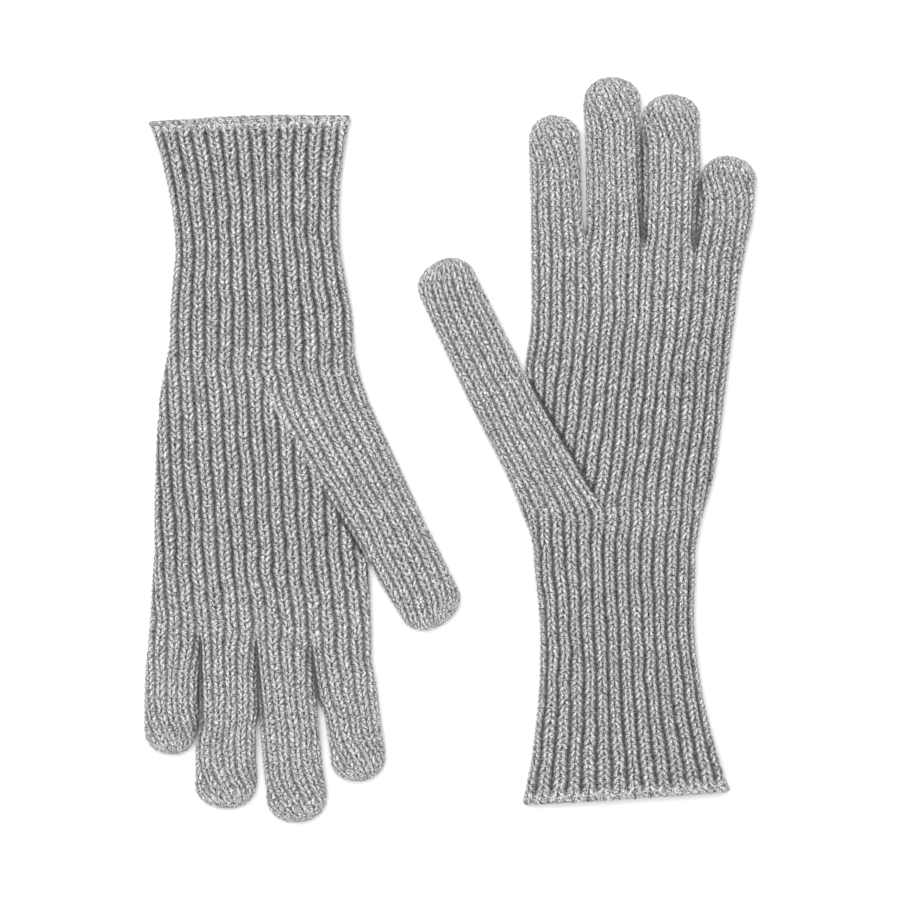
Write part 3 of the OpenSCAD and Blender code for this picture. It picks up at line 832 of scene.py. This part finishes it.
def thumb_row(d, last, s):
    """One row of the thumb, s along it from its fold, going on from the gusset's last row. It
    runs the other way round from a finger's, with p at the crease."""
    from_root = s + THUMB_FOLD_AHEAD
    inner = mix(CREASE_CORNER, HAND_CORNER, eased(from_root / (4 * THUMB_FOLD_AHEAD)))
    made = digit_row(d, s, GUSSET_RIBS, last["course"] + from_root / COURSE,
                     last["shift"] + swirl(d["length"] - s) / 2, GUSSET_RELIEF,
                     (inner, HAND_CORNER), d["slant"])
    made["p"], made["e"] = made["e"], made["p"]
    made["height"] = mix(last["height"], DIGIT_HEIGHT, eased(from_root / THUMB_SETTLE))
    made["seam"] = 1 - eased(from_root / THUMB_FREED_LENGTH)
    return made


def tube_places(d, start):
    """Where along a digit its rows lie, from start, before its fold, to its tip."""
    end = d["length"] - TIP_LENGTH
    n = course_rows(end - start)
    return [mix(start, end, j / n) for j in range(n + 1)]


def tip_row(last, d, turnover):
    """One row of the drawn-in end of a digit, turned over by that angle."""
    share = turnover / (math.pi / 2)
    c = max(math.cos(turnover), TIP_OPENING)
    side = (last["e"] - last["p"]) / 2
    at = (last["p"] + last["e"]) / 2 + TIP_LENGTH * math.sin(turnover) * heading(d["slant"])
    at = at - TIP_LEAN * (1 - c) ** 2 * side
    half = side * c ** TIP_WIDTH_POWER
    height = DIGIT_HEIGHT * c ** TIP_HEIGHT_POWER
    drifted = swirl(TIP_LENGTH * (1 - share)) - swirl(TIP_LENGTH)
    return row(at - half, at + half, last["course"] + TIP_LENGTH * TIP_KNIT * share / COURSE,
               last["count"], height,
               corners=(TIP_CORNER, TIP_CORNER), shift=last["shift"] + drifted,
               tilt=last["tilt"] * c, rise=(DIGIT_HEIGHT - height) / 2,
               relief=last["relief"] * mix(1, TIP_RELIEF, math.sin(turnover)))


def make_digit(side, part, node, rows, d, back, flip=False):
    """A finger or thumb: a tube that bends at its fold, and the tip that goes on from it."""
    tube = knit(side, node, [lip_row(rows[0], d)] + rows, flip=flip)
    turnover = np.linspace(0, math.pi / 2, course_rows(TIP_LENGTH * TIP_KNIT) + 1)
    tip = knit(side, f"{part}_tip", [tip_row(rows[-1], d, a) for a in turnover], flip=flip,
               lead=(turnover, heading(d["slant"])))
    bend(tube, side, part, heading(d["fold"]), back=back)
    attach(tip, f"{side}_{part}")
    stands_for(f"{side}_{node}")
    stands_for(f"{side}_{part}_tip")


# ---- Materials ----
class Graph:
    """Short ways to add nodes to one material. calculate takes sockets and numbers, the others
    sockets."""

    def __init__(self, material):
        material.use_nodes = True
        self.nodes = material.node_tree.nodes
        self.links = material.node_tree.links
        self.shader = self.nodes["Principled BSDF"]
        self.place = self.nodes.new("ShaderNodeTexCoord").outputs["Object"]

    def attribute(self, name):
        made = self.nodes.new("ShaderNodeAttribute")
        made.attribute_name = name
        return made.outputs["Fac"]

    def fleck(self, scale, detail=1, at=None):
        """Noise from 0 to 1, of place unless at says of what."""
        made = self.nodes.new("ShaderNodeTexNoise")
        made.inputs["Scale"].default_value = scale
        made.inputs["Detail"].default_value = detail
        self.links.new(self.place if at is None else at, made.inputs["Vector"])
        return made.outputs["Fac"]

    def ramp(self, value, *stops):
        """Grey levels for a value, from stops of a position and a level."""
        made = self.nodes.new("ShaderNodeValToRGB")
        ends = made.color_ramp.elements
        ends[0].position, ends[1].position = stops[0][0], stops[-1][0]
        ends[0].color = (*[stops[0][1]] * 3, 1)
        ends[1].color = (*[stops[-1][1]] * 3, 1)
        for position, level in stops[1:-1]:
            ends.new(position).color = (*[level] * 3, 1)
        self.links.new(value, made.inputs["Fac"])
        return made.outputs["Color"]

    def multiply(self, first, *others):
        """The product of colours. A mix node takes two at sockets 6 and 7, and gives it at 2."""
        for other in others:
            made = self.nodes.new("ShaderNodeMix")
            made.data_type = "RGBA"
            made.blend_type = "MULTIPLY"
            made.inputs[0].default_value = 1.0
            self.links.new(first, made.inputs[6])
            self.links.new(other, made.inputs[7])
            first = made.outputs[2]
        return first

    def calculate(self, operation, *values):
        made = self.nodes.new("ShaderNodeMath")
        made.operation = operation
        for slot, value in enumerate(values):
            if isinstance(value, (int, float)):
                made.inputs[slot].default_value = value
            else:
                self.links.new(value, made.inputs[slot])
        return made.outputs["Value"]

    def from_middle(self, value):
        """How far a value's fraction is from a half: 0.5 at whole numbers, 0 halfway."""
        part = self.calculate("FRACT", value)
        return self.calculate("ABSOLUTE", self.calculate("SUBTRACT", part, 0.5))

    def loosened(self, value, scale, amount):
        """A value moved a little here and there, as loose yarn lies."""
        off = self.calculate("SUBTRACT", self.fleck(scale), 0.5)
        return self.calculate("ADD", value, self.calculate("MULTIPLY", off, amount))


def stitch_pattern(graph):
    """The light and dark of single stitches, laid along the ribs and courses of the mesh: painted
    shade in the gaps between the legs, in the small holes and in the notches, over the threads of
    the plies.
    """
    phase = graph.loosened(graph.attribute("phase"), scale=900, amount=0.35)
    course = graph.loosened(graph.attribute("course"), scale=750, amount=1.1)
    side = graph.from_middle(phase)
    leg = graph.calculate("ADD", course, graph.calculate("MULTIPLY", side, V_SLOPE))
    # Painted shade in the gaps between the legs, in the small holes and in the notches between two
    # legs.
    gap_shade = graph.ramp(graph.from_middle(leg), (0.32, 1.0), (0.5, 0.5))
    ahead = graph.from_middle(graph.calculate("ADD", course, HOLE_AHEAD))
    hole = graph.calculate("ADD", graph.calculate("MULTIPLY", side, 4.5),
                           graph.calculate("MULTIPLY", ahead, 1.6))
    hole_shade = graph.ramp(hole, (0.18, 0.06), (0.45, 1.0))
    notch_shade = graph.ramp(side, (0.02, 0.7), (0.10, 1.0))
    return graph.multiply(plies_along(graph, phase, leg), gap_shade, hole_shade, notch_shade)


def plies_along(graph, phase, leg):
    """Fine light and dark threads twisted along the legs of the stitches."""
    along = graph.nodes.new("ShaderNodeCombineXYZ")
    twist = graph.calculate("ADD", graph.calculate("MULTIPLY", phase, 5.0),
                            graph.calculate("MULTIPLY", leg, 2.0))
    graph.links.new(twist, along.inputs["X"])
    graph.links.new(graph.calculate("MULTIPLY", leg, 11.0), along.inputs["Y"])
    threads = graph.fleck(scale=1.0, at=along.outputs["Vector"])
    return graph.ramp(threads, (0.28, 0.35), (0.46, 1.07), (0.7, 1.12))


def wool():
    """Grey melange wool: light and dark fibres spun together, with dull soft fuzz, and painted
    shade in the knit's hollows.
    """
    if "wool" in bpy.data.materials:
        return bpy.data.materials["wool"]
    material = bpy.data.materials.new("wool")
    graph = Graph(material)
    shader = graph.shader
    shader.inputs["Roughness"].default_value = 0.95
    shader.inputs["Specular IOR Level"].default_value = 0.15
    shader.inputs["Sheen Weight"].default_value = 0.25
    shader.inputs["Sheen Roughness"].default_value = 0.6
    flecks = graph.ramp(graph.fleck(scale=2000), (0.39, 0.0), (0.48, 1.1), (0.64, 1.22))
    patches = graph.ramp(graph.fleck(scale=260), (0.3, 0.85), (0.7, 1.12))
    # Painted shade in the knit's hollows, from how deep each point lies, roughened by noise.
    groove = graph.loosened(graph.attribute("groove"), scale=1700, amount=0.32)
    shade = graph.ramp(groove, (0.08, 0.64), (0.26, 0.53), (0.42, 0.21), (0.65, 0.05))
    colour = graph.multiply(stitch_pattern(graph), flecks, patches, shade)
    graph.links.new(colour, shader.inputs["Base Color"])
    fuzz = graph.nodes.new("ShaderNodeBump")
    fuzz.inputs["Strength"].default_value = 0.5
    fuzz.inputs["Distance"].default_value = 0.0003
    graph.links.new(graph.fleck(scale=2200, detail=3), fuzz.inputs["Height"])
    graph.links.new(fuzz.outputs["Normal"], shader.inputs["Normal"])
    return material


def floor_material():
    material = bpy.data.materials.new("studio_floor")
    material.use_nodes = True
    shader = material.node_tree.nodes["Principled BSDF"]
    shader.inputs["Base Color"].default_value = (0.93, 0.93, 0.93, 1)
    shader.inputs["Roughness"].default_value = 0.9
    shader.inputs["Specular IOR Level"].default_value = 0.1
    return material


# ---- The gloves on their bodies ----
def joint_at(name):
    found = next(j for j in frame["joints"] if j["name"] == name)
    return np.array(found["pos_m"])


WRISTS = {side: joint_at(f"{side}_cuff_fold")[:2] for side in GLOVES}


def bend(obj, side, part, direction, back=BEND_REACH):
    """Bakes the piece's placement into its mesh."""
    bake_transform(obj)


def stands_for(node):
    """The piece takes the place of a CAD node, which is hidden."""
    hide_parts(node)


def make_cuff_end(side, g):
    cuff, lining = make_cuff(side, g)
    bend(cuff, side, "cuff", heading(180))
    bend(lining, side, "cuff", heading(180))
    stands_for(f"{side}_cuff")
    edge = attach(make_edge(side, g), f"{side}_cuff")
    stands_for(f"{side}_cast_on_edge")


def make_crotches(side, g):
    at_thumb = crotch_of(g) - (0, THUMB_CROTCH_BACK)
    make_crotch(side, g, "thumb_crotch", at_thumb, g["thumb_slant"] / 2)
    for i in range(3):
        x = finger_side(g, i) + reach_beside(g, i) + FINGER_GAP / 2
        name = f"{FINGERS[i]}_{FINGERS[i + 1]}_crotch"
        make_crotch(side, g, name, fold_at(g, x) - (0, CROTCH_BACK), -g["knuckle_slant"] / 2)


def make_thumb(side, g):
    d, last = thumb_of(g), gusset_row(g, 1.0)
    rows = [thumb_row(d, last, s) for s in tube_places(d, -THUMB_FOLD_AHEAD)]
    make_digit(side, "thumb", "thumb", rows, d, THUMB_FOLD_AHEAD, flip=True)


def make_finger(side, g, i):
    d, base = finger_of(g, i), finger_base(g, i)
    rows = [finger_row(g, i, d, base, s) for s in tube_places(d, -BEND_REACH)]
    make_digit(side, FINGERS[i], f"{FINGERS[i]}_finger", rows, d, BEND_REACH)


def make_glove(side, g):
    make_cuff_end(side, g)
    make_crotches(side, g)
    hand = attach(make_hand(side, g), f"{side}_hand")
    stands_for(f"{side}_hand")
    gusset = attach(make_gusset(side, g), f"{side}_hand")
    stands_for(f"{side}_thumb_gusset")
    make_thumb(side, g)
    for i in range(4):
        make_finger(side, g, i)


for glove_side, dimensions in GLOVES.items():
    make_glove(glove_side, dimensions)


# ---- Studio ----
def make_floor():
    bpy.ops.mesh.primitive_plane_add(size=6, location=(0, 0, -0.0003))
    floor = bpy.context.object
    floor.name = "studio_floor"
    floor.data.materials.append(floor_material())


def make_lights():
    world = bpy.data.worlds.new("studio")
    bpy.context.scene.world = world
    world.use_nodes = True
    world.node_tree.nodes["Background"].inputs["Color"].default_value = (1, 1, 1, 1)
    world.node_tree.nodes["Background"].inputs["Strength"].default_value = 0.5
    light = bpy.data.lights.new("overhead", "AREA")
    light.shape = "DISK"
    light.size = 0.7
    light.energy = 15
    lamp = bpy.data.objects.new("overhead", light)
    lamp.location = (-0.08, 0.12, 1.2)
    lamp.rotation_euler = (Vector((0, 0, 0)) - lamp.location).to_track_quat("-Z", "Y").to_euler()
    bpy.context.scene.collection.objects.link(lamp)


def make_camera():
    """Straight above the pair, as the photo was taken."""
    view_width = 0.378          # the width of table that the picture takes in
    camera = bpy.data.cameras.new("camera")
    camera.lens = 100
    camera.sensor_width = 36
    obj = bpy.data.objects.new("camera", camera)
    obj.location = (0, 0, view_width * camera.lens / camera.sensor_width + DIGIT_HEIGHT)
    bpy.context.scene.collection.objects.link(obj)
    bpy.context.scene.camera = obj
    camera.clip_start, camera.clip_end = 0.05, 20


make_floor()
make_lights()
make_camera()
bpy.context.scene.view_settings.view_transform = "Standard"
